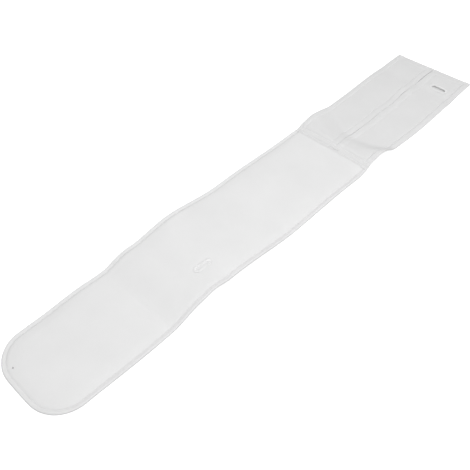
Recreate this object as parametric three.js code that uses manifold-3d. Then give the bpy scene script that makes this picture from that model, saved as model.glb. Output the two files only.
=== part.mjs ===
// Rib belt: a padded chest belt that lies on a table, with two closing straps at one end.
// Millimetres. X runs along the belt from its round toe to the strap ends, Y runs across it
// from the near edge to the far edge, and Z is up from the table.

import * as THREE from 'three';
import { mergeVertices } from 'three/addons/utils/BufferGeometryUtils.js';
import Module from 'manifold-3d';

// Overall sizes
const BELT_WIDTH = 160;
const CLEARANCE = 0.3;
const WELD_DISTANCE = 1e-3;
const HALF_WIDTH = BELT_WIDTH / 2;
const TOE_TIP_X = -498.4;
const STRAP_END_X = 500.6;

// Round toe: a flat arc across the end, with a corner arc on either side of it
const TOE_END_RADIUS = 900;
const TOE_CORNER_RADIUS = 56;
const TOE_END_STEPS = 3;
const TOE_CORNER_STEPS = 8;

// Lap seam, where the straps are sewn on top of the panel's squeezed end
const SEAM_X = 172;
const SEAM_LAP = 16;
const TONGUE_THICKNESS = 2.2;

// Panel and straps
const PANEL_THICKNESS = 5.6;
const STRAP_THICKNESS = 2.2;
const STRAP_INSET = 1;
const HEM_RISE = 0.7;
const END_HEM_WIDTH = 8;
const END_HEM_RISE = 0.5;
const END_HEM_SLOPE = 1.2;
const END_CORNER_RADIUS = 2.5;

// Spacing of the sections along the belt, and of the points across it
const FLAT_STEP = 45;
const GENTLE_STEP = 24;
const FOLD_STEP = 12;
const FOLDS_FROM_X = -395;
const ARCH_TO_X = -55;
const RIDGE_TO_X = 285;
const PANEL_MIDDLE_PARTS = 4;
const STRAP_MIDDLE_PARTS = 3;

// Slot for a finger through the lower strap, the oval rim on the panel and the punched hole
const FINGER_SLOT = { x: 450.6, y: -41, length: 28, width: 8, alongBelt: false };
const BODY_OVAL = { x: -178.5, y: -35, length: 27.4, width: 3.4, alongBelt: true };
const RIM_LINING = 1.2;
const RIM_END_STEPS = 6;
const RIM_SIDE_STEPS = 4;
const PUNCHED_HOLE = { x: -480, y: 35, radius: 1.4, depth: 3 };
const PUNCHED_HOLE_SIDES = 12;
const SLOT_CUT_HEIGHT = 12;

// Folds that raise the belt off the table since it was packed.
// x is the crest, and rise and fall are the lengths before and after it, at the near and the far edge,
// and halfway across where the crest isn't straight.
const FOLDS = [
  {
    name: 'toe ripple',
    near: { x: -335, height: 0, rise: 60, fall: 45 },
    far: { x: -335, height: 2.5, rise: 60, fall: 45 },
  },
  {
    name: 'toe crease',
    near: { x: -211, height: 15, rise: 76, fall: 46 },
    far: { x: -234, height: 11, rise: 50, fall: 76 },
  },
  {
    name: 'main arch',
    near: { x: -165, height: 12.5, rise: 56, fall: 150 },
    far: { x: -150, height: 18.5, rise: 72, fall: 125 },
  },
  {
    name: 'middle swell',
    near: { x: 90, height: 3, rise: 110, fall: 80 },
    far: { x: -10, height: 5, rise: 90, fall: 140 },
  },
  {
    name: 'seam ridge',
    near: { x: 220, height: 15.5, rise: 68, fall: 42 },
    middle: { x: 194, height: 9, rise: 32, fall: 40 },
    far: { x: 215, height: 11, rise: 42, fall: 62 },
  },
  {
    name: 'strap swell',
    near: { x: 402, height: 2.4, rise: 95, fall: 36 },
    far: { x: 405, height: 2.4, rise: 95, fall: 36 },
  },
  {
    name: 'end swell',
    near: { x: 474, height: 2.4, rise: 46, fall: 60 },
    far: { x: 470, height: 1.2, rise: 46, fall: 60 },
  },
];

// Stretches where the near edge bows outwards
const NEAR_EDGE_BOWS = [
  { x: -335, reach: 110, width: 1.8 },
  { x: 30, reach: 220, width: 1.4 },
  { x: 345, reach: 150, width: 5 },
];

// Ends that aren't cut quite square: slope of the end, fading out along the belt
const TOE_SKEW = { slope: 0.045, reach: 90 };
const STRAP_END_SKEW = { slope: -0.087, reach: 90 };

// Slit between the straps: its middle line and how far it stands open
const SLIT = [
  { x: SEAM_X, middle: -6.5, open: 0.4 },
  { x: 192, middle: -6, open: 0.5 },
  { x: 206, middle: -4, open: 0.5 },
  { x: 224, middle: -0.3, open: 1.2 },
  { x: 240, middle: -1.5, open: 0.9 },
  { x: 260, middle: -1.9, open: 0.6 },
  { x: 297, middle: -2.2, open: 0.5 },
  { x: 318, middle: -1, open: 0.7 },
  { x: 354, middle: -3.4, open: 0.6 },
  { x: 378, middle: -1.7, open: 0.7 },
  { x: 398, middle: -0.2, open: 1.8 },
  { x: 420, middle: -0.5, open: 0.6 },
  { x: 445, middle: 0, open: 0.6 },
  { x: 465, middle: 0.4, open: 2.2 },
  { x: STRAP_END_X, middle: -0.5, open: 1.6 },
];

// Panel's section, from the raw edge inside the binding to the full padding
const PANEL_EDGE = [
  { inset: 1.3, top: 2.8, bottom: 1.6 },
  { inset: 2.4, top: 3.3, bottom: 1.1 },
  { inset: 7.4, top: 3.3, bottom: 1.1 },
  { inset: 9.6, top: 4.5, bottom: 0.4 },
  { inset: 13, top: 5.2, bottom: 0 },
  { inset: 22, top: PANEL_THICKNESS, bottom: 0 },
];

// How thick the padding may be on the way into the lap seam
const PANEL_END = [
  { x: SEAM_X - 16, ceiling: PANEL_THICKNESS },
  { x: SEAM_X - 10, ceiling: 5.3 },
  { x: SEAM_X - 4, ceiling: 4.8 },
  { x: SEAM_X - 0.8, ceiling: 4.4 },
  { x: SEAM_X - 0.4, ceiling: TONGUE_THICKNESS },
  { x: SEAM_X + SEAM_LAP / 3, ceiling: TONGUE_THICKNESS },
  { x: SEAM_X + (2 * SEAM_LAP) / 3, ceiling: TONGUE_THICKNESS },
  { x: SEAM_X + SEAM_LAP - 0.6, ceiling: TONGUE_THICKNESS },
];

// Binding tape, folded round the panel's edge: its outer face and its inner face
const BINDING = [
  { outer: { inset: 7, height: 4.2 }, inner: { inset: 7, height: 3.6 } },
  { outer: { inset: 2.2, height: 4.4 }, inner: { inset: 2.1, height: 3.6 } },
  { outer: { inset: 0.6, height: 3.6 }, inner: { inset: 1, height: 3.1 } },
  { outer: { inset: 0, height: 2.2 }, inner: { inset: 1, height: 2.2 } },
  { outer: { inset: 0.6, height: 0.8 }, inner: { inset: 1, height: 1.3 } },
  { outer: { inset: 2.2, height: 0 }, inner: { inset: 2.1, height: 0.8 } },
  { outer: { inset: 7, height: 0 }, inner: { inset: 7, height: 0.8 } },
];
const BINDING_END_X = SEAM_X - 2;

// Straps: how high the lap holds them, and their hems from the edge inwards
const STRAP_SEAT = [
  { x: SEAM_X, seat: TONGUE_THICKNESS + CLEARANCE },
  { x: SEAM_X + SEAM_LAP / 3, seat: TONGUE_THICKNESS + CLEARANCE },
  { x: SEAM_X + (2 * SEAM_LAP) / 3, seat: TONGUE_THICKNESS + CLEARANCE },
  { x: SEAM_X + SEAM_LAP, seat: TONGUE_THICKNESS + CLEARANCE },
  { x: SEAM_X + SEAM_LAP + 4, seat: 1.3 },
  { x: SEAM_X + SEAM_LAP + 10, seat: 0 },
];
const OUTER_HEM = [
  { inset: 0, top: 2, bottom: 0.6 },
  { inset: 0.9, top: STRAP_THICKNESS + HEM_RISE / 2, bottom: 0 },
  { inset: 7, top: STRAP_THICKNESS + HEM_RISE, bottom: 0 },
  { inset: 13, top: STRAP_THICKNESS, bottom: 0 },
];
const SLIT_HEM = [
  { inset: 0, top: 2, bottom: 0.6 },
  { inset: 0.9, top: STRAP_THICKNESS + HEM_RISE / 3, bottom: 0 },
  { inset: 6.5, top: STRAP_THICKNESS + HEM_RISE, bottom: 0 },
  { inset: 12, top: STRAP_THICKNESS, bottom: 0 },
];

// Sections of the two stitched rims: distance out from the opening, and height above the cloth's upper face
const SLOT_RIM_SECTION = [
  { out: 0, height: -STRAP_THICKNESS + CLEARANCE },
  { out: 0, height: 0.5 },
  { out: 0.7, height: 1.1 },
  { out: 2.6, height: 1.1 },
  { out: 3.5, height: CLEARANCE },
  { out: RIM_LINING, height: CLEARANCE },
  { out: RIM_LINING, height: -STRAP_THICKNESS + CLEARANCE },
];
const BODY_RIM_SECTION = [
  { out: 0, height: CLEARANCE },
  { out: 0.3, height: 0.8 },
  { out: 1.4, height: 1.2 },
  { out: 3.1, height: 1.2 },
  { out: 4.2, height: 0.8 },
  { out: 4.5, height: CLEARANCE },
];

// Finishes: all white, the straps a little greyer than the panel
const FINISHES = {
  body_panel: { color: '#ededed', roughness: 0.95 },
  edge_binding: { color: '#eeeeee', roughness: 0.85 },
  strap_upper: { color: '#e4e4e4', roughness: 0.9 },
  strap_lower: { color: '#e4e4e4', roughness: 0.9 },
  finger_slot_rim: { color: '#e9e9e9', roughness: 0.7 },
  body_oval_rim: { color: '#f1f1f1', roughness: 0.7 },
};

const wasm = await Module();
wasm.setup();

/** Smooth curve through one column of a table whose rows are sorted by x. */
function curveThrough(rows, column) {
  const curve = new THREE.CubicInterpolant(rows.map((row) => row.x), rows.map((row) => row[column]), 1);
  return (x) => curve.evaluate(x)[0];
}

/** Straight lines through one column of such a table. */
function linesThrough(rows, column) {
  const lines = new THREE.LinearInterpolant(rows.map((row) => row.x), rows.map((row) => row[column]), 1);
  return (x) => lines.evaluate(x)[0];
}

const slitMiddle = curveThrough(SLIT, 'middle');
const slitOpen = linesThrough(SLIT, 'open');
const panelCeiling = linesThrough(PANEL_END, 'ceiling');
const strapSeat = linesThrough(STRAP_SEAT, 'seat');

/** Bell of height 1, from 0 at -rise over 1 at 0 to 0 at fall. */
function bell(offset, rise, fall) {
  const share = offset < 0 ? -offset / rise : offset / fall;
  return share < 1 ? (1 - share ** 2) ** 2 : 0;
}

/** Size of a fold at a share of the way across the belt, on a curve through its rows. */
function foldSize({ near, middle, far }, size, share) {
  const halfway = middle ? middle[size] : (near[size] + far[size]) / 2;
  const fromNear = near[size] * (1 - share) * (1 - 2 * share);
  const fromFar = far[size] * share * (2 * share - 1);
  return fromNear + halfway * 4 * share * (1 - share) + fromFar;
}

/** How far the folds raise the belt's underside off the table. */
function liftAt(x, y) {
  const share = (y + HALF_WIDTH) / BELT_WIDTH;
  let lift = 0;
  for (const fold of FOLDS) {
    const [crest, height, rise, fall] = ['x', 'height', 'rise', 'fall'].map((size) => foldSize(fold, size, share));
    lift += height * bell(x - crest, rise, fall);
  }
  return Math.max(lift, 0);
}

/** How far the belt's near edge bows outwards. */
function bowAt(x) {
  return NEAR_EDGE_BOWS.reduce((bow, row) => bow + row.width * bell(x - row.x, row.reach, row.reach), 0);
}

/** Slope of the lines across the belt, which only its two ends have. */
function skewAt(x) {
  const toe = TOE_SKEW.slope * bell(x - TOE_TIP_X, TOE_SKEW.reach, TOE_SKEW.reach);
  const end = STRAP_END_SKEW.slope * bell(x - STRAP_END_X, STRAP_END_SKEW.reach, STRAP_END_SKEW.reach);
  return toe + end;
}

/** Point of the lying belt, from its place on the flat belt. */
function laid(x, y, height) {
  const nearness = Math.max(-y / HALF_WIDTH, 0);
  return new THREE.Vector3(x + skewAt(x) * y, y - bowAt(x) * nearness, height + liftAt(x, y));
}

/** Equal steps from one place to another, no longer than the given one, both ends included. */
function spaced(from, to, step) {
  const count = Math.ceil((to - from) / step);
  return Array.from({ length: count + 1 }, (_, i) => from + ((to - from) * i) / count);
}

/** Sorted places with those that are alike taken once. */
function merged(...lists) {
  return [...new Set(lists.flat())].sort((a, b) => a - b);
}

/** Geometry of points and triangles, welded, with the triangles that collapsed left out. */
function weldedGeometry(points, triangles) {
  const loose = new THREE.BufferGeometry();
  loose.setAttribute('position', new THREE.Float32BufferAttribute(points.flatMap((p) => p.toArray()), 3));
  loose.setIndex(triangles.flat());
  const welded = mergeVertices(loose, WELD_DISTANCE);
  const index = [];
  for (let t = 0; t < welded.index.count; t += 3) {
    const [a, b, c] = [0, 1, 2].map((corner) => welded.index.getX(t + corner));
    if (a !== b && b !== c && c !== a) index.push(a, b, c);
  }
  welded.setIndex(index);
  return welded;
}

/**
 * Closed sheet from a grid of cloth points, each with an upper and a lower place.
 * Rows run along the piece. A folded start is a first row that lies on itself, so it needs no wall.
 */
function sheetGeometry(rows, { foldedStart = false } = {}) {
  const width = rows[0].length;
  const last = { row: rows.length - 1, column: width - 1 };
  const points = rows.flat().flatMap(({ upper, lower }) => [upper, lower]);
  const upper = (i, k) => 2 * (i * width + k);
  const lower = (i, k) => upper(i, k) + 1;
  const triangles = [];
  const quad = (a, b, c, d) => triangles.push([a, b, c], [a, c, d]);
  for (let i = 0; i < last.row; i += 1) {
    for (let k = 0; k < last.column; k += 1) {
      quad(upper(i, k), upper(i + 1, k), upper(i + 1, k + 1), upper(i, k + 1));
      quad(lower(i, k), lower(i, k + 1), lower(i + 1, k + 1), lower(i + 1, k));
    }
    quad(lower(i, 0), lower(i + 1, 0), upper(i + 1, 0), upper(i, 0));
    quad(upper(i, last.column), upper(i + 1, last.column), lower(i + 1, last.column), lower(i, last.column));
  }
  for (let k = 0; k < last.column; k += 1) {
    quad(lower(last.row, k), lower(last.row, k + 1), upper(last.row, k + 1), upper(last.row, k));
    if (!foldedStart) quad(upper(0, k), upper(0, k + 1), lower(0, k + 1), lower(0, k));
  }
  return weldedGeometry(points, triangles);
}

/** Closed ring from sections that are closed loops of points. */
function ringGeometry(sections) {
  const around = sections[0].length;
  const triangles = [];
  sections.forEach((_, i) => {
    const here = i * around;
    const next = ((i + 1) % sections.length) * around;
    for (let k = 0; k < around; k += 1) {
      const step = (k + 1) % around;
      triangles.push([here + k, next + step, next + k], [here + k, here + step, next + step]);
    }
  });
  return weldedGeometry(sections.flat(), triangles);
}

/** Solid for cutting, from a closed geometry. */
function solidOf(geometry) {
  const bare = geometry.clone();
  bare.deleteAttribute('normal');
  bare.deleteAttribute('uv');
  const welded = mergeVertices(bare, WELD_DISTANCE);
  const vertProperties = new Float32Array(welded.attributes.position.array);
  const triVerts = new Uint32Array(welded.index.array);
  return new wasm.Manifold(new wasm.Mesh({ numProp: 3, vertProperties, triVerts }));
}

/** First geometry less the second. */
function cutGeometry(geometry, cutter) {
  const mesh = solidOf(geometry).subtract(solidOf(cutter)).getMesh();
  const cut = new THREE.BufferGeometry();
  cut.setAttribute('position', new THREE.BufferAttribute(new Float32Array(mesh.vertProperties), 3));
  cut.setIndex(new THREE.BufferAttribute(new Uint32Array(mesh.triVerts), 1));
  return cut;
}

/** Far half of the panel's outline, from the toe's tip to the given places along the straight edge. */
function outlineStations(places) {
  const spread = TOE_END_RADIUS - TOE_CORNER_RADIUS;
  const turn = Math.asin((HALF_WIDTH - TOE_CORNER_RADIUS) / spread);
  const endCentreX = TOE_TIP_X + TOE_END_RADIUS;
  const cornerCentre = { x: endCentreX - spread * Math.cos(turn), y: spread * Math.sin(turn) };
  const arc = (centre, radius, angle) => {
    const inward = { x: Math.cos(angle), y: -Math.sin(angle) };
    return { x: centre.x - radius * inward.x, y: centre.y - radius * inward.y, inward };
  };
  const stations = [];
  for (let i = 0; i < TOE_END_STEPS; i += 1) {
    stations.push(arc({ x: endCentreX, y: 0 }, TOE_END_RADIUS, (turn * i) / TOE_END_STEPS));
  }
  for (let i = 0; i < TOE_CORNER_STEPS; i += 1) {
    const angle = THREE.MathUtils.lerp(turn, Math.PI / 2, i / TOE_CORNER_STEPS);
    stations.push(arc(cornerCentre, TOE_CORNER_RADIUS, angle));
  }
  const edge = merged(spaced(cornerCentre.x, FOLDS_FROM_X, FLAT_STEP), places);
  return stations.concat(edge.map((x) => ({ x, y: HALF_WIDTH, inward: { x: 0, y: -1 } })));
}

/** Place on the flat belt at an inset from the outline, on the far side (1) or the near side (-1). */
function insetPlace({ x, y, inward }, inset, side) {
  return { x: x + inward.x * inset, y: side * (y + inward.y * inset) };
}

/** Places along the straight edge that the panel and the binding share, up to the given one. */
function edgePlaces(toX) {
  const arch = spaced(FOLDS_FROM_X, ARCH_TO_X, FOLD_STEP);
  const swell = spaced(ARCH_TO_X, PANEL_END[0].x, GENTLE_STEP);
  return merged(arch, swell, PANEL_END.map((row) => row.x)).filter((x) => x <= toX);
}

/** Padded panel: full in the middle, squeezed along the binding's stitching and into the lap seam. */
function bodyPanel() {
  const padded = ({ x, y }, { top, bottom }) => {
    const ceiling = panelCeiling(x);
    return {
      upper: laid(x, y, Math.min(top, ceiling)),
      lower: laid(x, y, Math.min(bottom, Math.max(ceiling - TONGUE_THICKNESS, 0))),
    };
  };
  const innermost = PANEL_EDGE[PANEL_EDGE.length - 1];
  const rows = outlineStations(edgePlaces(SEAM_X + SEAM_LAP)).map((station) => {
    const edge = (side) => PANEL_EDGE.map((row) => padded(insetPlace(station, row.inset, side), row));
    const { x, y } = insetPlace(station, innermost.inset, 1);
    const shares = spaced(-1, 1, 2 / PANEL_MIDDLE_PARTS).slice(1, -1);
    const middle = shares.map((share) => padded({ x, y: y * share }, innermost));
    return [...edge(-1), ...middle, ...edge(1).reverse()];
  });
  const { x, y, radius, depth } = PUNCHED_HOLE;
  const punch = new THREE.CylinderGeometry(radius, radius, PANEL_THICKNESS, PUNCHED_HOLE_SIDES);
  punch.rotateX(Math.PI / 2);
  punch.translate(x, y, PANEL_THICKNESS - depth + PANEL_THICKNESS / 2);
  return cutGeometry(sheetGeometry(rows, { foldedStart: true }), punch);
}

/** Tape folded round the panel's edge, from the near end of the seam round the toe to the far end. */
function edgeBinding() {
  const half = outlineStations(edgePlaces(BINDING_END_X));
  const section = (station, side) => BINDING.map(({ outer, inner }) => {
    const [out, into] = [outer, inner].map(({ inset, height }) => {
      const { x, y } = insetPlace(station, inset, side);
      return laid(x, y, height);
    });
    return { upper: out, lower: into };
  });
  const near = half.slice(1).reverse().map((station) => section(station, -1));
  const far = half.map((station) => section(station, 1));
  return sheetGeometry([...near, ...far]);
}

/** How far the straps' outer corners are rounded off at a place along them. */
function cornerInset(x) {
  const into = Math.max(x - (STRAP_END_X - END_CORNER_RADIUS), 0);
  return END_CORNER_RADIUS - Math.sqrt(END_CORNER_RADIUS ** 2 - into ** 2);
}

/** Closing strap between the slit and the belt's far edge (1) or near edge (-1). */
function strap(side) {
  const hemStart = STRAP_END_X - END_HEM_WIDTH;
  const afterLap = STRAP_SEAT[STRAP_SEAT.length - 1].x;
  const places = merged(
    STRAP_SEAT.map((row) => row.x),
    spaced(afterLap, RIDGE_TO_X, FOLD_STEP),
    spaced(RIDGE_TO_X, hemStart - END_HEM_SLOPE, GENTLE_STEP),
    [hemStart, STRAP_END_X - END_CORNER_RADIUS, STRAP_END_X - END_CORNER_RADIUS / 3, STRAP_END_X],
  );
  const rows = places.map((x) => {
    const outerEdge = side * (HALF_WIDTH - STRAP_INSET - cornerInset(x));
    const slitEdge = slitMiddle(x) + (side * slitOpen(x)) / 2;
    const seat = strapSeat(x);
    const endRise = x >= hemStart ? END_HEM_RISE : 0;
    const point = (y, { top, bottom }) => ({
      upper: laid(x, y, seat + Math.max(top, Math.min(top + endRise, STRAP_THICKNESS + HEM_RISE))),
      lower: laid(x, y, seat + bottom),
    });
    const outer = OUTER_HEM.map((row) => point(outerEdge - side * row.inset, row));
    const inner = SLIT_HEM.map((row) => point(slitEdge + side * row.inset, row));
    const from = slitEdge + side * SLIT_HEM[SLIT_HEM.length - 1].inset;
    const to = outerEdge - side * OUTER_HEM[OUTER_HEM.length - 1].inset;
    const plain = { top: STRAP_THICKNESS, bottom: 0 };
    const shares = spaced(0, 1, 1 / STRAP_MIDDLE_PARTS).slice(1, -1);
    const middle = shares.map((share) => point(THREE.MathUtils.lerp(from, to, share), plain));
    const across = [...inner, ...middle, ...outer.reverse()];
    return side > 0 ? across : across.reverse();
  });
  return sheetGeometry(rows);
}

/** Points round an oval opening, each with the direction out of it. */
function ovalPath({ x, y, length, width, alongBelt }) {
  const radius = width / 2;
  const reach = length / 2 - radius;
  const path = [];
  for (const end of [1, -1]) {
    for (let i = 0; i <= RIM_END_STEPS; i += 1) {
      const angle = -Math.PI / 2 + (Math.PI * i) / RIM_END_STEPS;
      const out = { along: end * Math.cos(angle), across: end * Math.sin(angle) };
      path.push({ along: end * reach + radius * out.along, across: radius * out.across, out });
    }
    for (let i = 1; i < RIM_SIDE_STEPS; i += 1) {
      const along = end * reach * (1 - (2 * i) / RIM_SIDE_STEPS);
      path.push({ along, across: end * radius, out: { along: 0, across: end } });
    }
  }
  const turned = ({ along, across }) => (alongBelt ? { x: along, y: across } : { x: -across, y: along });
  return path.map((place) => {
    const { x: dx, y: dy } = turned(place);
    return { x: x + dx, y: y + dy, out: turned(place.out) };
  });
}

/** Stitched rim round an oval opening, on cloth whose upper face is at the given height. */
function stitchedRim(oval, section, clothTop) {
  const sections = ovalPath(oval).map(({ x, y, out }) => section.map((row) => laid(
    x + out.x * row.out,
    y + out.y * row.out,
    clothTop + row.height,
  )));
  return ringGeometry(sections);
}

/** Lower strap with the finger slot cut through it, wide enough for the rim's lining. */
function slottedStrap() {
  const seat = RIM_LINING + CLEARANCE;
  const outline = new THREE.Shape(ovalPath(FINGER_SLOT).map(({ x, y, out }) => (
    laid(x + out.x * seat, y + out.y * seat, 0)
  )));
  const cutter = new THREE.ExtrudeGeometry(outline, { depth: SLOT_CUT_HEIGHT, bevelEnabled: false });
  cutter.translate(0, 0, -STRAP_THICKNESS);
  return cutGeometry(strap(-1), cutter);
}

/** Named piece of the belt in its own finish. */
function piece(name, geometry) {
  geometry.computeVertexNormals();
  const mesh = new THREE.Mesh(geometry, new THREE.MeshStandardMaterial({ ...FINISHES[name], metalness: 0 }));
  mesh.name = name;
  return mesh;
}

const ribBelt = new THREE.Group();
ribBelt.name = 'rib_belt';
ribBelt.add(
  piece('body_panel', bodyPanel()),
  piece('edge_binding', edgeBinding()),
  piece('strap_upper', strap(1)),
  piece('strap_lower', slottedStrap()),
  piece('finger_slot_rim', stitchedRim(FINGER_SLOT, SLOT_RIM_SECTION, STRAP_THICKNESS)),
  piece('body_oval_rim', stitchedRim(BODY_OVAL, BODY_RIM_SECTION, PANEL_THICKNESS)),
);

export default ribBelt;
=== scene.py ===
"""Rib belt: a white padded chest belt, bound round its toe, with two hemmed closing straps.

The belt lies unfolded on a table, with the soft folds of its packing. X runs along it from the toe
to the strap ends, Y across it from the near edge to the far edge, and Z is up from the table.
Sizes are in millimetres until a mesh is made, and the meshes are in metres.
"""

import logging
import math
from dataclasses import dataclass, field
from enum import Enum

import bpy
import numpy as np
from mathutils import Matrix, Vector


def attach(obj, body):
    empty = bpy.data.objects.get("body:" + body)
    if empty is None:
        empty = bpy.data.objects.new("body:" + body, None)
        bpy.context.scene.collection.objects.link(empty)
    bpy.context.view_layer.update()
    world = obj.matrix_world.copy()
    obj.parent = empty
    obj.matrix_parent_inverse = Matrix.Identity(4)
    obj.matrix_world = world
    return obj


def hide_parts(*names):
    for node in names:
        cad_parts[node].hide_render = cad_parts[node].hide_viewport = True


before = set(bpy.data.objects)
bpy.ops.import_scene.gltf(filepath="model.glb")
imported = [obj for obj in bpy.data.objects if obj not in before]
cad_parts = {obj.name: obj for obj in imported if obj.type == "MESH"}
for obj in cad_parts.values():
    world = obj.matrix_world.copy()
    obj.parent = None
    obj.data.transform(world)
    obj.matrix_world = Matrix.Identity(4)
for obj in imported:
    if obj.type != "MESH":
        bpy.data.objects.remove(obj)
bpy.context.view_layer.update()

LOG = logging.getLogger("rib_belt")
BODY = "root"
UNROLLED = "unrolled"
MM = 0.001
STEP_GROWTH = 1.16
RAY_HEIGHT = 0.1
DOWN = (0.0, 0.0, -1.0)


class Side(Enum):
    """Long edge of the belt, with the sign of its Y."""

    NEAR = -1
    FAR = 1


class Slot(Enum):
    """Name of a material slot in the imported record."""

    PANEL = "panel_laminate"
    BINDING = "binding_tape"
    STRAP = "strap_cloth"
    THREAD = "rim_thread"


def bell(offset: np.ndarray, rise: np.ndarray, fall: np.ndarray) -> np.ndarray:
    """Bell of height 1 that grows from 0 at -rise and is back at 0 at fall."""
    share = np.where(offset < 0, -offset / rise, offset / fall)
    return np.where(share < 1, (1 - share**2) ** 2, 0.0)


def step_up(value: np.ndarray, low: float, high: float) -> np.ndarray:
    """Smooth step from 0 at low to 1 at high."""
    share = np.clip((value - low) / (high - low), 0, 1)
    return share * share * (3 - 2 * share)


def groove(offset: np.ndarray, width: float) -> np.ndarray:
    """Rounded groove of depth 1 about an offset of 0."""
    return np.exp(-((offset / width) ** 2))


def roll_off(border: np.ndarray, reach: float, drop: float) -> np.ndarray:
    """How far a rolled edge falls away, at distances from its border."""
    share = 1 - np.clip(border / reach, 0, 1)
    return drop * (1 - np.sqrt(1 - share**2))


def graded(length: float, first: float, largest: float, hold: float, both: bool = True) -> np.ndarray:
    """Places from 0 to a length that are close together at its start.

    Args:
        length: Distance to cover.
        first: First step.
        largest: Step that the growing steps stop at.
        hold: Distance over which the steps stay as short as the first one.
        both: Whether the far end is as fine as the start.

    Returns:
        Sorted places, both ends included.
    """
    reach = length / 2 if both else length
    steps = [first]
    while sum(steps) < reach:
        steps.append(first if sum(steps) < hold else min(steps[-1] * STEP_GROWTH, largest))
    places = np.concatenate([[0.0], np.cumsum(steps)]) * reach / sum(steps)
    return np.concatenate([places, length - places[-2::-1]]) if both else places


@dataclass(frozen=True)
class Curve:
    """Smooth curve through points that are sorted by x."""

    x: tuple[float, ...]
    y: tuple[float, ...]

    def __call__(self, at: np.ndarray) -> np.ndarray:
        """Follows the curve.

        Args:
            at: Places along x.

        Returns:
            Height of the curve at each place.
        """
        x, y = np.array(self.x), np.array(self.y)
        slope = np.gradient(y, x)
        i = np.clip(np.searchsorted(x, at) - 1, 0, len(x) - 2)
        span = x[i + 1] - x[i]
        t = np.clip((at - x[i]) / span, 0, 1)
        start = (1 + 2 * t) * (1 - t) ** 2 * y[i] + t * (1 - t) ** 2 * span * slope[i]
        end = t * t * (3 - 2 * t) * y[i + 1] + t * t * (t - 1) * span * slope[i + 1]
        return start + end


@dataclass(frozen=True)
class Profile:
    """Straight lines through points that are sorted by x."""

    x: tuple[float, ...]
    y: tuple[float, ...]

    def __call__(self, at: np.ndarray) -> np.ndarray:
        """Height of the profile at one or more places."""
        return np.interp(at, self.x, self.y)


@dataclass(frozen=True)
class Crest:
    """One place across a fold: where its crest is, its height, and its lengths before and after it."""

    x: float
    height: float
    rise: float
    fall: float


@dataclass(frozen=True)
class Fold:
    """A fold across the belt, from the near edge's crest to the far one's, or through a middle crest too."""

    name: str
    near: Crest
    far: Crest
    middle: Crest | None = None

    def size(self, name: str, across: np.ndarray) -> np.ndarray:
        """Size of the fold's crest part of the way across the belt.

        Args:
            name: Which of the crest's sizes.
            across: Shares of the way from the near edge to the far edge.

        Returns:
            The size at each share.
        """
        near, far = getattr(self.near, name), getattr(self.far, name)
        middle = getattr(self.middle, name) if self.middle else (near + far) / 2
        ends = near * (1 - across) * (1 - 2 * across) + far * across * (2 * across - 1)
        return ends + middle * 4 * across * (1 - across)

    def lift(self, x: np.ndarray, across: np.ndarray) -> np.ndarray:
        """Height of the fold at places that are a share of the way across the belt."""
        rise, fall = self.size("rise", across), self.size("fall", across)
        return self.size("height", across) * bell(x - self.size("x", across), rise, fall)


@dataclass(frozen=True)
class Bow:
    """Stretch where the near edge bows outwards."""

    x: float
    reach: float
    width: float


@dataclass(frozen=True)
class Skew:
    """End that isn't cut square: its slope, which fades out along the belt."""

    end_x: float
    slope: float
    reach: float


@dataclass(frozen=True)
class LyingBelt:
    """How the belt lies on the table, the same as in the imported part."""

    half_width: float = 80.0
    toe_x: float = -498.4
    strap_end_x: float = 501.6
    seam_x: float = 172.0
    folds: tuple[Fold, ...] = (
        Fold("toe ripple", Crest(-335, 0, 60, 45), Crest(-335, 2.5, 60, 45)),
        Fold("toe crease", Crest(-211, 15, 76, 46), Crest(-234, 11, 50, 76)),
        Fold("main arch", Crest(-165, 12.5, 56, 150), Crest(-150, 18.5, 72, 125)),
        Fold("middle swell", Crest(90, 3, 110, 80), Crest(-10, 5, 90, 140)),
        Fold("seam ridge", Crest(220, 15.5, 68, 42), Crest(215, 11, 42, 62), middle=Crest(194, 9, 32, 40)),
        Fold("strap swell", Crest(402, 2.4, 95, 36), Crest(405, 2.4, 95, 36)),
        Fold("end swell", Crest(474, 2.4, 46, 60), Crest(470, 1.2, 46, 60)),
    )
    near_bows: tuple[Bow, ...] = (Bow(-335, 110, 1.8), Bow(30, 220, 1.4), Bow(345, 150, 5))
    skews: tuple[Skew, ...] = (Skew(-498.4, 0.045, 90), Skew(500.6, -0.087, 90))
    seam_press: Profile = Profile((-18, -10, -4, 0, 1, 4), (1, 0.97, 0.92, 0.86, 0.78, 0.39))

    def lift(self, x: np.ndarray, y: np.ndarray) -> np.ndarray:
        """How far the folds raise the belt's underside off the table."""
        across = (y + self.half_width) / (2 * self.half_width)
        return np.maximum(sum(fold.lift(x, across) for fold in self.folds), 0)

    def squeeze(self, x: np.ndarray) -> np.ndarray:
        """Share of their height that the padding and its binding keep where the lap seam presses them."""
        return self.seam_press(x - self.seam_x)

    def place(self, x: np.ndarray, y: np.ndarray, height: np.ndarray) -> np.ndarray:
        """Points of the lying belt from their places on the flat belt.

        Args:
            x: Places along the flat belt.
            y: Places across it.
            height: Heights above its underside.

        Returns:
            Points in metres, with the coordinates in the last axis.
        """
        x, y, height = np.broadcast_arrays(*(np.asarray(values, float) for values in (x, y, height)))
        bow = sum(row.width * bell(x - row.x, row.reach, row.reach) for row in self.near_bows)
        skew = sum(row.slope * bell(x - row.end_x, row.reach, row.reach) for row in self.skews)
        nearness = np.maximum(-y / self.half_width, 0)
        laid = np.stack([x + skew * y, y - bow * nearness, height + self.lift(x, y)], axis=-1)
        return laid * MM


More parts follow.
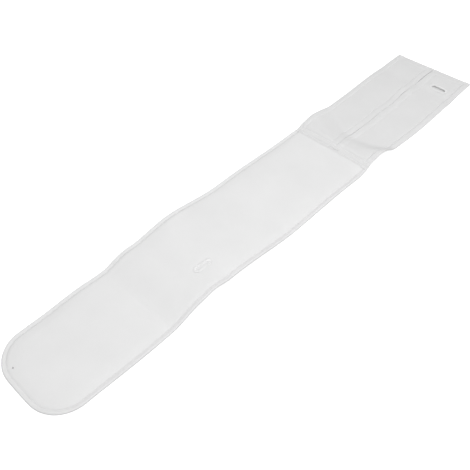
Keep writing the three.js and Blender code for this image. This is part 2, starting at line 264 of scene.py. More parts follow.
@dataclass(frozen=True)
class Outline:
    """Edge of the bound panel: two straight sides, a flat arc across the toe and two corner arcs."""

    belt: LyingBelt
    end_radius: float = 900.0
    corner_radius: float = 56.0

    @property
    def turn(self) -> float:
        """Angle that the toe's flat arc turns through on its way to a corner."""
        return math.asin((self.belt.half_width - self.corner_radius) / (self.end_radius - self.corner_radius))

    @property
    def corner_centre(self) -> tuple[float, float]:
        """Centre of the far corner's arc.

        Returns:
            Its place along the flat belt and across it.
        """
        spread = self.end_radius - self.corner_radius
        end_centre_x = self.belt.toe_x + self.end_radius
        return end_centre_x - spread * math.cos(self.turn), spread * math.sin(self.turn)

    def inset(self, x: np.ndarray, y: np.ndarray) -> np.ndarray:
        """Distance of places on the flat panel from its edge.

        Args:
            x: Places along the flat belt.
            y: Places across it.

        Returns:
            Distances in from the edge.
        """
        centre_x, centre_y = self.corner_centre
        outward = np.abs(y)
        side = self.belt.half_width - outward
        end = self.end_radius - np.hypot(x - self.belt.toe_x - self.end_radius, y)
        corner = self.corner_radius - np.hypot(x - centre_x, outward - centre_y)
        in_corner = (x < centre_x) & (outward - centre_y > (centre_x - x) * math.tan(self.turn))
        return np.where(in_corner, corner, np.minimum(side, end))

    def rounded(self, x: np.ndarray, y: np.ndarray, edge_inset: float) -> tuple[np.ndarray, np.ndarray]:
        """Bends a square-ended grid of places to the round toe.

        Args:
            x: Places along the grid, whose end is as far out as the toe's.
            y: Places across it.
            edge_inset: Distance of the grid's edge from the outline.

        Returns:
            New places along and across the panel.
        """
        centre_x, centre_y = self.corner_centre
        radius = self.corner_radius - edge_inset
        a = np.clip((centre_x - x) / radius, 0, 1)
        b = np.clip((np.abs(y) - centre_y) / radius, 0, 1)
        in_corner = (a > 0) & (b > 0)
        round_x = centre_x - radius * a * np.sqrt(1 - b * b / 2)
        round_y = np.sign(y) * (centre_y + radius * b * np.sqrt(1 - a * a / 2))
        return np.where(in_corner, round_x, x), np.where(in_corner, round_y, y)

    def stations(self, end_x: float, step: float) -> tuple[np.ndarray, np.ndarray, np.ndarray]:
        """Even stations along the edge, from the near side round the toe to the far side.

        Args:
            end_x: Where the two straight sides end.
            step: Distance between stations, roughly.

        Returns:
            Places on the flat belt, directions into the panel, and lengths along the edge.
        """
        centre_x, centre_y = self.corner_centre
        flat_length = self.end_radius * self.turn
        bend_length = self.corner_radius * (math.pi / 2 - self.turn)
        half_length = flat_length + bend_length + end_x - centre_x
        count = 2 * round(half_length / step)
        along = np.linspace(-half_length, half_length, count + 1)
        s = np.abs(along)
        on_end = s < flat_length
        in_bend = self.turn + (s - flat_length) / self.corner_radius
        angle = np.minimum(np.where(on_end, s / self.end_radius, in_bend), math.pi / 2)
        radius = np.where(on_end, self.end_radius, self.corner_radius)
        middle_x = np.where(on_end, self.belt.toe_x + self.end_radius, centre_x)
        x = middle_x - radius * np.cos(angle) + np.maximum(s - flat_length - bend_length, 0)
        y = np.where(on_end, 0.0, centre_y) + radius * np.sin(angle)
        sign = np.where(along < 0, -1.0, 1.0)
        places = np.stack([x, sign * y], axis=-1)
        inward = np.stack([np.cos(angle), -sign * np.sin(angle)], axis=-1)
        return places, inward, along + half_length


def select_only(obj: bpy.types.Object) -> None:
    """Makes one object the selected and active one.

    Args:
        obj: The object.
    """
    bpy.ops.object.select_all(action="DESELECT")
    obj.select_set(True)
    bpy.context.view_layer.objects.active = obj


def mesh_object(name: str, points: np.ndarray, faces: list[list[int]]) -> bpy.types.Object:
    """New smooth-shaded mesh object at the origin.

    Args:
        name: Name of the piece.
        points: Points in metres.
        faces: Corner numbers of each face.

    Returns:
        The object, linked to the scene.
    """
    mesh = bpy.data.meshes.new(name)
    mesh.from_pydata(np.asarray(points).reshape(-1, 3).tolist(), [], faces)
    mesh.polygons.foreach_set("use_smooth", np.ones(len(mesh.polygons), bool))
    mesh.update()
    obj = bpy.data.objects.new(name, mesh)
    bpy.context.scene.collection.objects.link(obj)
    return obj


def closed_sheet(name: str, upper: np.ndarray, lower: np.ndarray) -> bpy.types.Object:
    """Closed cloth between two grids of points, with a wall round its rim.

    Args:
        name: Name of the piece.
        upper: Grid of points of the upper face, rows along the piece and columns across it.
        lower: The same for the lower face.

    Returns:
        The cloth's object.
    """
    rows, columns = upper.shape[:2]
    index = np.arange(rows * columns).reshape(rows, columns)
    quads = np.stack([index[:-1, :-1], index[1:, :-1], index[1:, 1:], index[:-1, 1:]], axis=-1).reshape(-1, 4)
    rim = np.concatenate([index[:-1, 0], index[-1, :-1], index[:0:-1, -1], index[0, :0:-1]])
    after = np.roll(rim, -1)
    walls = np.stack([rim + index.size, after + index.size, after, rim], axis=-1)
    faces = np.concatenate([quads, quads[:, ::-1] + index.size, walls])
    points = np.concatenate([upper.reshape(-1, 3), lower.reshape(-1, 3)])
    return mesh_object(name, points, faces.tolist())


def apply_modifier(obj: bpy.types.Object, kind: str, **settings: object) -> None:
    """Adds a modifier to an object and applies it.

    Args:
        obj: The object.
        kind: Type name of the modifier.
        settings: Values of the modifier's properties.
    """
    select_only(obj)
    modifier = obj.modifiers.new(kind.title(), kind)
    for name, value in settings.items():
        setattr(modifier, name, value)
    bpy.ops.object.modifier_apply(modifier=modifier.name)


def cut_out(obj: bpy.types.Object, cutter: bpy.types.Object) -> None:
    """Cuts one closed object out of another, and removes it."""
    apply_modifier(obj, "BOOLEAN", operation="DIFFERENCE", solver="EXACT", object=cutter)
    bpy.data.objects.remove(cutter)


def linear(hex_colour: str) -> tuple[float, float, float, float]:
    """Linear colour with full alpha.

    Args:
        hex_colour: The colour's sRGB hex value.

    Returns:
        Red, green, blue and alpha.
    """
    values = [int(hex_colour[i : i + 2], 16) / 255 for i in (1, 3, 5)]
    channels = [v / 12.92 if v <= 0.04045 else ((v + 0.055) / 1.055) ** 2.4 for v in values]
    return channels[0], channels[1], channels[2], 1.0


def settled(points: np.ndarray, *cloths: bpy.types.Object) -> np.ndarray:
    """Brings points straight down onto finished cloths.

    Args:
        points: Points in metres.
        cloths: Cloths below the points, of which the highest counts.

    Returns:
        The points on the cloths.
    """
    laid = points.copy()
    for row, (x, y, _) in enumerate(points.tolist()):
        hits = [cloth.ray_cast((x, y, RAY_HEIGHT), DOWN) for cloth in cloths]
        laid[row, 2] = max(place.z for _, place, _, _ in hits)
    return laid


def unroll(obj: bpy.types.Object, flat: np.ndarray) -> None:
    """Gives a mesh a map of the places on the flat cloth that its points come from.

    Args:
        obj: The mesh's object.
        flat: Place of each point on the flat cloth, in metres.
    """
    corners = np.empty(len(obj.data.loops), np.int32)
    obj.data.loops.foreach_get("vertex_index", corners)
    obj.data.uv_layers.new(name=UNROLLED).data.foreach_set("uv", flat[corners].ravel())


def add_node(
    material: bpy.types.Material,
    kind: str,
    settings: dict[str, object],
    inputs: dict[str, object],
    output: int | str = 0,
) -> bpy.types.NodeSocket | None:
    """Adds a shader node to a material.

    Args:
        material: Material with nodes.
        kind: Type name of the node.
        settings: Values of the node's own properties.
        inputs: For each input, by its identifier, a constant or an output to link.
        output: Which output to hand back.

    Returns:
        That output, or nothing for a node without any.
    """
    tree = material.node_tree
    node = tree.nodes.new(kind)
    for name, value in settings.items():
        setattr(node, name, value)
    sockets = {socket.identifier: socket for socket in node.inputs}
    for name, value in inputs.items():
        if isinstance(value, bpy.types.NodeSocket):
            tree.links.new(value, sockets[name])
        else:
            sockets[name].default_value = value
    return node.outputs[output] if node.outputs else None


@dataclass(frozen=True)
class ClothFinish:
    """Matt white cloth: a fine relief, two close whites in broad clouds, painted shade in the hollows of the
    relief, and a soft sheen of loose fibres.
    """

    name: str
    light: str
    shade: str
    relief_mm: float
    cloud_mm: float
    roughness: float
    sheen: float

    def place(self, made: bpy.types.Material) -> bpy.types.NodeSocket:
        """Places in metres that the patterns follow."""
        return add_node(made, "ShaderNodeTexCoord", {}, {}, "Object")

    def relief(self, made: bpy.types.Material, place: bpy.types.NodeSocket) -> bpy.types.NodeSocket:
        """Height of the cloth's face, from 0 to about 1: fine fibres without an order."""
        fibres = {"Vector": place, "Scale": 1 / (0.6 * MM), "Detail": 3.0, "Roughness": 0.6}
        return add_node(made, "ShaderNodeTexNoise", {}, fibres)

    def material(self) -> bpy.types.Material:
        """Builds the material of this finish, once.

        Returns:
            The material.
        """
        made = bpy.data.materials.get(self.name)
        if made:
            return made
        made = bpy.data.materials.new(self.name)
        made.use_nodes = True
        made.node_tree.nodes.clear()
        place = self.place(made)
        relief = self.relief(made, place)
        clouds = {"Vector": place, "Scale": 1 / (self.cloud_mm * MM), "Detail": 3.0, "Roughness": 0.55}
        cloud = add_node(made, "ShaderNodeTexNoise", {}, clouds)
        # The relief's hollows take more of the darker white: painted shade, on top of the random clouds of
        # tone.
        hollow_shade_terms = {"Value": relief, "Value_001": -0.35, "Value_002": cloud}
        hollow_shade_and_clouds = add_node(made, "ShaderNodeMath", {"operation": "MULTIPLY_ADD"}, hollow_shade_terms)
        spread = add_node(made, "ShaderNodeMapRange", {}, {"Value": hollow_shade_and_clouds, "From Min": 0.0, "From Max": 0.6})
        whites = {"Factor_Float": spread, "A_Color": linear(self.light), "B_Color": linear(self.shade)}
        colour = add_node(made, "ShaderNodeMix", {"data_type": "RGBA"}, whites, 2)
        gloss = {"Value": relief, "To Min": self.roughness, "To Max": self.roughness - 0.08}
        roughness = add_node(made, "ShaderNodeMapRange", {}, gloss)
        raised = {"Strength": 1.0, "Distance": self.relief_mm * MM, "Height": relief}
        surface = {
            "Base Color": colour,
            "Roughness": roughness,
            "Specular IOR Level": 0.25,
            "Sheen Weight": self.sheen,
            "Sheen Roughness": 0.6,
            "Normal": add_node(made, "ShaderNodeBump", {}, raised),
        }
        shader = add_node(made, "ShaderNodeBsdfPrincipled", {}, surface)
        add_node(made, "ShaderNodeOutputMaterial", {}, {"Surface": shader})
        return made


@dataclass(frozen=True)
class BrushedKnit(ClothFinish):
    """Knit whose loops are brushed up to a low nap of tangled fibres."""

    loop_mm: float = 1.0
    fibre_mm: float = 1.0

    def relief(self, made: bpy.types.Material, place: bpy.types.NodeSocket) -> bpy.types.NodeSocket:
        """Height of the nap, with the loops as soft dents between its tufts.

        Args:
            made: Material to add nodes to.
            place: Places that the pattern follows.

        Returns:
            Output with the height.
        """
        tufts = {"Vector": place, "Scale": 1 / (self.loop_mm * MM), "Smoothness": 0.7, "Randomness": 0.8}
        dents = add_node(made, "ShaderNodeTexVoronoi", {"feature": "SMOOTH_F1"}, tufts)
        tangle = {
            "Vector": place,
            "Scale": 1 / (self.fibre_mm * MM),
            "Detail": 4.0,
            "Roughness": 0.65,
            "Distortion": 0.8,
        }
        nap = add_node(made, "ShaderNodeTexNoise", {}, tangle)
        both = {"Value": dents, "Value_001": -0.4, "Value_002": nap}
        return add_node(made, "ShaderNodeMath", {"operation": "MULTIPLY_ADD"}, both)


@dataclass(frozen=True)
class WaleKnit(ClothFinish):
    """Smooth knit: columns of V-shaped stitches along the piece."""

    wale_mm: float = 1.0
    course_mm: float = 1.0

    def relief(self, made: bpy.types.Material, place: bpy.types.NodeSocket) -> bpy.types.NodeSocket:
        """Height of the stitches: two slanting arms across each column, one pair to a course.

        Args:
            made: Material to add nodes to.
            place: Places that the pattern follows.

        Returns:
            Output with the height.
        """
        per_stitch = (1 / (self.course_mm * MM), 1 / (self.wale_mm * MM), 0.0)
        counted = add_node(made, "ShaderNodeMapping", {}, {"Vector": place, "Scale": per_stitch})
        course = add_node(made, "ShaderNodeSeparateXYZ", {}, {"Vector": counted}, "X")
        wale = course.node.outputs["Y"]
        arm = add_node(made, "ShaderNodeMath", {"operation": "PINGPONG"}, {"Value": wale, "Value_001": 0.5})
        slant = {"Value": arm, "Value_001": 1.4, "Value_002": course}
        slanted = add_node(made, "ShaderNodeMath", {"operation": "MULTIPLY_ADD"}, slant)
        turns = {"Value": slanted, "Value_001": 2 * math.pi}
        phase = add_node(made, "ShaderNodeMath", {"operation": "MULTIPLY"}, turns)
        wave = add_node(made, "ShaderNodeMath", {"operation": "SINE"}, {"Value": phase})
        crown = add_node(made, "ShaderNodeMath", {"operation": "PINGPONG"}, {"Value": arm, "Value_001": 0.25})
        ribbed = {"Value": crown, "Value_001": 2.0, "Value_002": 0.25}
        rib = add_node(made, "ShaderNodeMath", {"operation": "MULTIPLY_ADD"}, ribbed)
        knitted = {"Value": wave, "Value_001": 0.25, "Value_002": rib}
        return add_node(made, "ShaderNodeMath", {"operation": "MULTIPLY_ADD"}, knitted)


@dataclass(frozen=True)
class TapeKnit(WaleKnit):
    """Knit of a narrow tape, whose columns follow the tape round its fold and round the toe."""

    def place(self, made: bpy.types.Material) -> bpy.types.NodeSocket:
        """Places in metres on the unrolled tape."""
        return add_node(made, "ShaderNodeUVMap", {"uv_map": UNROLLED}, {})


# Brushed loop knit on foam: a matt, slightly hairy white face, even to the eye, with loops of about 1 mm.
# The loops are drawn at 1.6 mm, because finer ones don't show in a picture of the whole belt.
PANEL_KNIT = BrushedKnit(
    "brushed loop knit on foam", "#DCDCDC", "#D8D8D8", 0.16, 55, 0.97, 0.06, loop_mm=1.6, fibre_mm=1.1
)

# Knitted strap cloth: thinner and a little greyer, with fine wales along the strap.
# The wales are drawn twice as coarse as real ones, so that they show.
STRAP_KNIT = WaleKnit(
    "knitted polyamide strap cloth", "#D8D8D8", "#D4D4D4", 0.12, 38, 0.92, 0.05, wale_mm=1.4, course_mm=1.8
)

# Folded tricot tape: closer and smoother than the panel's knit.
BINDING_TRICOT = TapeKnit(
    "tricot binding tape", "#DBDBDB", "#D7D7D7", 0.08, 30, 0.88, 0.05, wale_mm=0.9, course_mm=1.1
)

# Polyester sewing thread: smooth filament with a slight gloss, a touch brighter than the cloth.
SEWING_THREAD = ClothFinish("polyester sewing thread", "#E4E4E4", "#DEDEDE", 0.03, 12, 0.65, 0.0)


def dress(obj: bpy.types.Object, material: bpy.types.Material, slot: Slot, *nodes: str) -> bpy.types.Object:
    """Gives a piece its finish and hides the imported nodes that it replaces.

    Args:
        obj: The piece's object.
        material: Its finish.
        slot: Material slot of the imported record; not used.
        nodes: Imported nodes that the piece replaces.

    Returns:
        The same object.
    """
    obj.data.materials.clear()
    obj.data.materials.append(material)
    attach(obj, BODY)
    if nodes:
        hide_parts(*nodes)
    LOG.info("%s: %d faces", obj.name, len(obj.data.polygons))
    return obj


@dataclass(frozen=True)
class Oval:
    """Oval opening with round ends, along the belt or across it."""

    x: float
    y: float
    length: float
    width: float
    along_belt: bool

    def distance(self, x: np.ndarray, y: np.ndarray) -> np.ndarray:
        """Distance of places from the oval's edge.

        Args:
            x: Places along the flat belt.
            y: Places across it.

        Returns:
            Distances, negative inside the oval.
        """
        dx, dy = (x - self.x, y - self.y) if self.along_belt else (y - self.y, x - self.x)
        reach = (self.length - self.width) / 2
        return np.hypot(np.maximum(np.abs(dx) - reach, 0), dy) - self.width / 2

    def path(self, step: float, out: float = 0.0) -> tuple[np.ndarray, np.ndarray]:
        """Even places round the oval.

        Args:
            step: Distance between places, roughly, measured on the path.
            out: Distance of the path outside the oval's edge.

        Returns:
            Places on the flat belt, and directions out of the oval there.
        """
        radius = self.width / 2 + out
        reach = (self.length - self.width) / 2
        quarter = reach + radius * math.pi / 2
        count = 4 * max(round(quarter / step), 4)
        s = np.arange(count) * 4 * quarter / count
        half = s % (2 * quarter)
        angle = np.clip((half - reach) / radius, 0, math.pi)
        sign = np.where(s < 2 * quarter, 1.0, -1.0)
        lead = np.minimum(half, reach) - np.maximum(half - reach - radius * math.pi, 0)
        along = sign * (lead + radius * np.sin(angle))
        across = -sign * radius * np.cos(angle)
        normal = np.stack([sign * np.sin(angle), -sign * np.cos(angle)], axis=-1)
        places = np.stack([along, across], axis=-1)
        if not self.along_belt:
            places = np.stack([-places[:, 1], places[:, 0]], axis=-1)
            normal = np.stack([-normal[:, 1], normal[:, 0]], axis=-1)
        return places + np.array([self.x, self.y]), normal


FINGER_SLOT = Oval(450.6, -41.0, 28.0, 8.0, along_belt=False)
BODY_OVAL = Oval(-178.5, -35.0, 27.4, 3.4, along_belt=True)


@dataclass
class PaddedPanel:
    """Foam-laminate panel, squeezed under the binding and into the lap seam, and puffed up between."""

    belt: LyingBelt
    outline: Outline
    edge_inset: float = 1.3
    lap: float = 15.4
    thickness: float = 5.6
    grid_first: float = 0.95
    grid_largest: float = 6.0
    grid_hold: float = 11.0
    fine_step: float = 2.2
    fine_margin: float = 11.0
    sewn_inset: float = 7.4
    free_inset: float = 9.5
    puff_limit: float = 0.9
    pressure: float = 4.0
    frames: int = 20
    evening: int = 4
    crease_x: float = -284.0
    crease_depth: float = 0.5
    dimple_depth: float = 0.5
    dimple_floor: float = 4.5
    dimple_rim: float = 12.0
    hole_x: float = -480.0
    hole_y: float = 35.0
    hole_radius: float = 1.4
    hole_depth: float = 3.2
    hole_sides: int = 24
    crease_width: float = 3.0
    crease_tilt: float = 0.06
    seam_reach: float = 10.0
    seam_wall: float = 1.2
    seam_hold: tuple[float, float] = (9.0, 3.0)
    cloth_quality: int = 5
    cloth_mass: float = 0.2
    fill: float = 0.75
    padding: Profile = Profile(
        (1.3, 2.4, 6.3, 7.2, 8.5, 10.3, 12.3, 15), (2.8, 3.2, 2.8, 3.1, 4.1, 5.05, 5.5, 5.6)
    )
    underside: Profile = Profile((1.3, 2.4, 7.4, 9.6, 13), (1.6, 1.1, 1.1, 0.4, 0.0))

    def top(self, x: np.ndarray, y: np.ndarray) -> np.ndarray:
        """Height of the upper face before it is puffed up."""
        return self.padding(self.outline.inset(x, y)) * self.belt.squeeze(x)

    def bottom(self, x: np.ndarray, y: np.ndarray) -> np.ndarray:
        """Height of the lower face, which is flat on the table except at the edges.

        Args:
            x: Places along the flat belt.
            y: Places across it.

        Returns:
            Heights above the table of the flat belt.
        """
        rise = self.underside(self.outline.inset(x, y))
        pressed = np.minimum(rise, self.top(x, y) - self.seam_wall).clip(0)
        return np.where(x > self.belt.seam_x - self.seam_reach, pressed, rise)

    def grid(self) -> tuple[np.ndarray, np.ndarray]:
        """Places of the panel's grid on the flat belt, fine towards its edges.

        Returns:
            Places along the belt and across it.
        """
        start = self.outline.corner_centre[0] - self.outline.corner_radius + self.edge_inset
        squeezed = self.belt.seam_x - 22
        steps = (self.grid_first, self.grid_largest, self.grid_hold)
        body = start + graded(squeezed - start, *steps, both=False)
        seam = self.belt.seam_x - graded(self.belt.seam_x - squeezed, 1.0, 4.0, 4.0, both=False)[::-1]
        tongue = self.belt.seam_x + np.array([0.5, 1.0, 2.0, 3.0, 4.0, 8.0, self.lap])
        along = np.concatenate([body, seam[1:], tongue])
        along = self.refined(along, BODY_OVAL.x, BODY_OVAL.length / 2)
        along = self.refined(along, self.crease_x, 0.0)
        width = 2 * (self.belt.half_width - self.edge_inset)
        across = graded(width, *steps) - width / 2
        across = self.refined(across, BODY_OVAL.y, BODY_OVAL.width / 2)
        x, y = np.meshgrid(along, across, indexing="ij")
        return self.outline.rounded(x, y, self.edge_inset)

    def refined(self, places: np.ndarray, middle: float, half_length: float) -> np.ndarray:
        """Places with a closer spacing over and beside a length.

        Args:
            places: Sorted places.
            middle: Middle of the length.
            half_length: Half of it.

        Returns:
            The new places, in order.
        """
        reach = half_length + self.fine_margin
        fine = middle + np.linspace(-reach, reach, round(2 * reach / self.fine_step) + 1)
        kept = places[np.abs(places - middle) > reach + self.fine_step / 2]
        return np.sort(np.concatenate([kept, fine]))

    def press(self, obj: bpy.types.Object, x: np.ndarray, y: np.ndarray) -> None:
        """Presses the crease and the sewn oval's dimple into the upper face.

        Args:
            obj: The panel's object.
            x: Place along the flat belt of each point of the upper face.
            y: Place across it of each point.
        """
        crease = groove(x - self.crease_x + self.crease_tilt * y, self.crease_width)
        crease = crease * step_up(-y, -10, 15) * (1 - step_up(-y, 55, 75))
        dimple = 1 - step_up(BODY_OVAL.distance(x, y), self.dimple_floor, self.dimple_rim)
        points = np.array([v.co for v in obj.data.vertices])
        points[: x.size, 2] -= (self.crease_depth * crease + self.dimple_depth * dimple) * MM
        obj.data.vertices.foreach_set("co", points.ravel())
        obj.data.update()

    def evened(self, moved: np.ndarray, grid_shape: tuple[int, int]) -> np.ndarray:
        """Evens out stray wrinkles between neighbours.

        Args:
            moved: Movements of both faces' points.
            grid_shape: Rows and columns of each face.

        Returns:
            The evened movements.
        """
        grid = moved.reshape(2, *grid_shape, 3).copy()
        for _ in range(self.evening):
            grid[:, 1:-1] = (grid[:, :-2] + 2 * grid[:, 1:-1] + grid[:, 2:]) / 4
            grid[:, :, 1:-1] = (grid[:, :, :-2] + 2 * grid[:, :, 1:-1] + grid[:, :, 2:]) / 4
        return grid.reshape(-1, 3)

    def puff_up(self, obj: bpy.types.Object, grid_x: np.ndarray, grid_y: np.ndarray) -> None:
        """Inflates the cloth between the stitching with a short simulation.

        Args:
            obj: The panel's object.
            grid_x: Places along the flat belt of the grid of each face.
            grid_y: Places across it.
        """
        x, y = np.tile(grid_x.ravel(), 2), np.tile(grid_y.ravel(), 2)
        inset = self.outline.inset(x, y)
        sewn = 1 - step_up(inset, self.sewn_inset, self.free_inset)
        first, full = (self.belt.seam_x - reach for reach in self.seam_hold)
        sewn = np.maximum(sewn, step_up(x, first, full))
        group = obj.vertex_groups.new(name="sewn_down")
        for point, weight in enumerate(sewn.tolist()):
            group.add([point], weight, "REPLACE")
        before = np.array([v.co for v in obj.data.vertices])
        cloth = obj.modifiers.new("Padding", "CLOTH")
        cloth.settings.quality = self.cloth_quality
        cloth.settings.mass = self.cloth_mass
        cloth.settings.use_pressure = True
        cloth.settings.uniform_pressure_force = self.pressure
        cloth.settings.vertex_group_mass = group.name
        cloth.settings.effector_weights.gravity = 0.0
        cloth.collision_settings.use_collision = False
        cloth.point_cache.frame_end = self.frames
        for frame_number in range(1, self.frames + 1):
            bpy.context.scene.frame_set(frame_number)
        select_only(obj)
        bpy.ops.object.modifier_apply(modifier=cloth.name)
        bpy.context.scene.frame_set(1)
        after = np.array([v.co for v in obj.data.vertices])
        moved = self.evened(after - before, grid_x.shape)
        length = np.linalg.norm(moved, axis=1, keepdims=True)
        limit = self.puff_limit * MM
        capped = before + moved * limit * np.tanh(length / limit) / np.maximum(length, 1e-12)
        capped[:, 2] = np.maximum(capped[:, 2], 0)
        obj.data.vertices.foreach_set("co", capped.ravel())
        obj.data.update()
        LOG.info("panel puffed by up to %.2f mm, capped at %.2f mm", length.max() / MM, self.puff_limit)

    def punch(self, obj: bpy.types.Object) -> None:
        """Cuts the small blind hole near the toe.

        Args:
            obj: The panel's object.
        """
        depth = 2 * self.hole_depth
        top = self.thickness + self.puff_limit
        bpy.ops.object.select_all(action="DESELECT")
        size = {"vertices": self.hole_sides, "radius": self.hole_radius * MM, "depth": depth * MM}
        bpy.ops.mesh.primitive_cylinder_add(**size)
        cutter = bpy.context.object
        cutter.data.transform(Matrix.Translation(Vector((self.hole_x, self.hole_y, top)) * MM))
        cut_out(obj, cutter)

    def build(self) -> bpy.types.Object:
        """Builds and dresses the panel.

        Returns:
            The panel's object.
        """
        x, y = self.grid()
        upper, lower = (self.belt.place(x, y, face(x, y)) for face in (self.top, self.bottom))
        obj = closed_sheet("padded_panel", upper, lower)
        self.puff_up(obj, x, y)
        self.press(obj, x.ravel(), y.ravel())
        apply_modifier(obj, "SUBSURF", levels=1, render_levels=1)
        self.punch(obj)
        dress(obj, PANEL_KNIT.material(), Slot.PANEL, "body_panel")
        return obj


@dataclass
class Thread:
    """Sewing thread, laid as short stitches that dive into the cloth at both ends."""

    radius: float = 0.25
    sides: int = 6
    sink: float = 0.05

    def stitches(self, name: str, start: np.ndarray, end: np.ndarray) -> bpy.types.Object:
        """One object of many stitches.

        Args:
            name: Name of the piece.
            start: Points in metres on the cloth where the stitches begin.
            end: Points where they end.

        Returns:
            The joined stitches.
        """
        shares = np.array([0.0, 0.12, 0.5, 0.88, 1.0])
        fatness = np.array([0.45, 0.9, 1.0, 0.9, 0.45]) * self.radius * MM
        height = np.array([-1.6, 0.1, 0.55, 0.1, -1.6]) * self.radius * MM
        along = end - start
        run = along / np.linalg.norm(along, axis=1, keepdims=True)
        side = np.cross([0.0, 0.0, 1.0], run)
        side /= np.linalg.norm(side, axis=1, keepdims=True)
        up = np.cross(run, side)
        angle = np.arange(self.sides) * 2 * math.pi / self.sides
        middle = start[:, None] + along[:, None] * shares[None, :, None]
        middle = middle + up[:, None] * (height - self.sink * MM)[None, :, None]
        turn = angle[None, None, :, None]
        ring = np.cos(turn) * side[:, None, None] + np.sin(turn) * up[:, None, None]
        points = middle[:, :, None] + ring * fatness[None, :, None, None]
        return tubes(name, points)


def tubes(name: str, points: np.ndarray) -> bpy.types.Object:
    """One object of many short closed tubes.

    Args:
        name: Name of the piece.
        points: Points by tube, ring along it and corner of the ring.

    Returns:
        The joined tubes.
    """
    count, rings, sides = points.shape[:3]
    index = np.arange(count * rings * sides).reshape(count, rings, sides)
    turned = np.roll(index, -1, axis=2)
    walls = np.stack([index[:, :-1], turned[:, :-1], turned[:, 1:], index[:, 1:]], axis=-1).reshape(-1, 4)
    caps = index[:, 0, ::-1].tolist() + index[:, -1].tolist()
    return mesh_object(name, points, walls.tolist() + caps)


def sewn_row(places: np.ndarray, pitch: float, length: float) -> tuple[np.ndarray, np.ndarray]:
    """Ends of the stitches of one row.

    Args:
        places: Places on the flat belt along the row, close together.
        pitch: Distance from a stitch to the next.
        length: Length of a stitch.

    Returns:
        Places on the flat belt where the stitches begin and where they end.
    """
    steps = np.linalg.norm(np.diff(places, axis=0), axis=1)
    along = np.concatenate([[0.0], np.cumsum(steps)])
    starts = np.arange(pitch / 2, along[-1] - length, pitch)
    begin, end = (
        np.stack([np.interp(s, along, places[:, axis]) for axis in (0, 1)], axis=-1)
        for s in (starts, starts + length)
    )
    return begin, end


@dataclass
class FoldedBinding:
    """Tape folded round the panel's edge, rolled full at the rim and stitched down on the panel."""

    belt: LyingBelt
    outline: Outline
    under_strap: float = 3.0
    step: float = 1.25
    tape_wall: float = 0.3
    stitch_inset: float = 6.0
    stitch_pitch: float = 2.8
    stitch_length: float = 2.1
    pucker: float = 0.1
    pucker_width: float = 2.2
    upper_side: float = 3.0
    slow_wave: float = 17.3
    slow_share: float = 0.7
    section: tuple[tuple[float, float], ...] = (
        (7.2, 3.4),
        (6.7, 3.5),
        (6.0, 3.5),
        (5.3, 3.75),
        (4.4, 4.1),
        (3.3, 4.4),
        (2.3, 4.5),
        (1.5, 4.3),
        (0.7, 3.8),
        (0.2, 3.0),
        (0.0, 2.2),
        (0.25, 1.2),
        (0.9, 0.45),
        (2.0, 0.0),
        (4.5, 0.0),
        (7.0, 0.0),
    )

    def build(self) -> list[bpy.types.Object]:
        """Builds and dresses the tape and its row of stitches.

        Returns:
            The tape's object and the stitches' object.
        """
        places, inward, along = self.outline.stations(self.belt.seam_x + self.under_strap, self.step)
        section = np.array(self.section)
        heading = np.gradient(section, axis=0)
        heading /= np.linalg.norm(heading, axis=1, keepdims=True)
        into = np.stack([-heading[:, 1], heading[:, 0]], axis=-1)
        inner = section + into * self.tape_wall
        inner[:, 0] = np.minimum(inner[:, 0], section[0, 0])
        near_row = groove(section[:, 0] - self.stitch_inset, self.pucker_width)
        near_row = near_row * (section[:, 1] > self.upper_side)
        turns = 2 * math.pi * along
        waves = np.cos(turns / self.stitch_pitch) + self.slow_share * np.sin(turns / self.slow_wave)
        ripple = self.pucker * waves[:, None] * near_row[None, :]
        grids = []
        for face in (section, inner):
            x = places[:, None, 0] + inward[:, None, 0] * face[None, :, 0]
            y = places[:, None, 1] + inward[:, None, 1] * face[None, :, 0]
            grids.append(self.belt.place(x, y, (face[None, :, 1] + ripple) * self.belt.squeeze(x)))
        tape = closed_sheet("folded_binding", grids[0], grids[1])
        across = np.concatenate([[0.0], np.cumsum(np.linalg.norm(np.diff(section, axis=0), axis=1))])
        flat = np.stack(np.meshgrid(along, across, indexing="ij"), axis=-1).reshape(-1, 2)
        unroll(tape, np.tile(flat, (2, 1)) * MM)
        dress(tape, BINDING_TRICOT.material(), Slot.BINDING, "edge_binding")
        shown = places[:, 0] < self.belt.seam_x - 1
        row = (places + inward * self.stitch_inset)[shown]
        ends = sewn_row(row, self.stitch_pitch, self.stitch_length)
        start, end = (settled(self.belt.place(at[:, 0], at[:, 1], 0.0), tape) for at in ends)
        stitches = Thread().stitches("binding_stitches", start, end)
        dress(stitches, SEWING_THREAD.material(), Slot.THREAD)
        return [tape, stitches]


@dataclass(frozen=True)
class Slit:
    """Slit between the straps: its middle line, and how far it stands open."""

    line: Curve = Curve(
        (172, 192, 206, 224, 240, 260, 297, 318, 354, 378, 398, 420, 445, 465, 500.6),
        (-6.5, -6, -4, -0.3, -1.5, -1.9, -2.2, -1, -3.4, -1.7, -0.2, -0.5, 0, 0.4, -0.5),
    )
    opening: Profile = Profile(
        (206, 222, 232, 240, 252, 262, 272, 300, 322, 335, 378)
        + (386, 396, 406, 415, 443, 450, 458, 470, 482, 490),
        (0.04, 0.25, 0.5, 0.6, 0.35, 0.2, 0.05, 0.1, 0.1, 0.04, 0.05)
        + (0.45, 0.75, 0.5, 0.08, 0.04, 0.8, 1, 0.75, 0.75, 1),
    )

    def edge(self, x: np.ndarray, side: Side) -> np.ndarray:
        """Y of the slit's edge on one strap."""
        return self.line(x) + side.value * self.opening(x) / 2


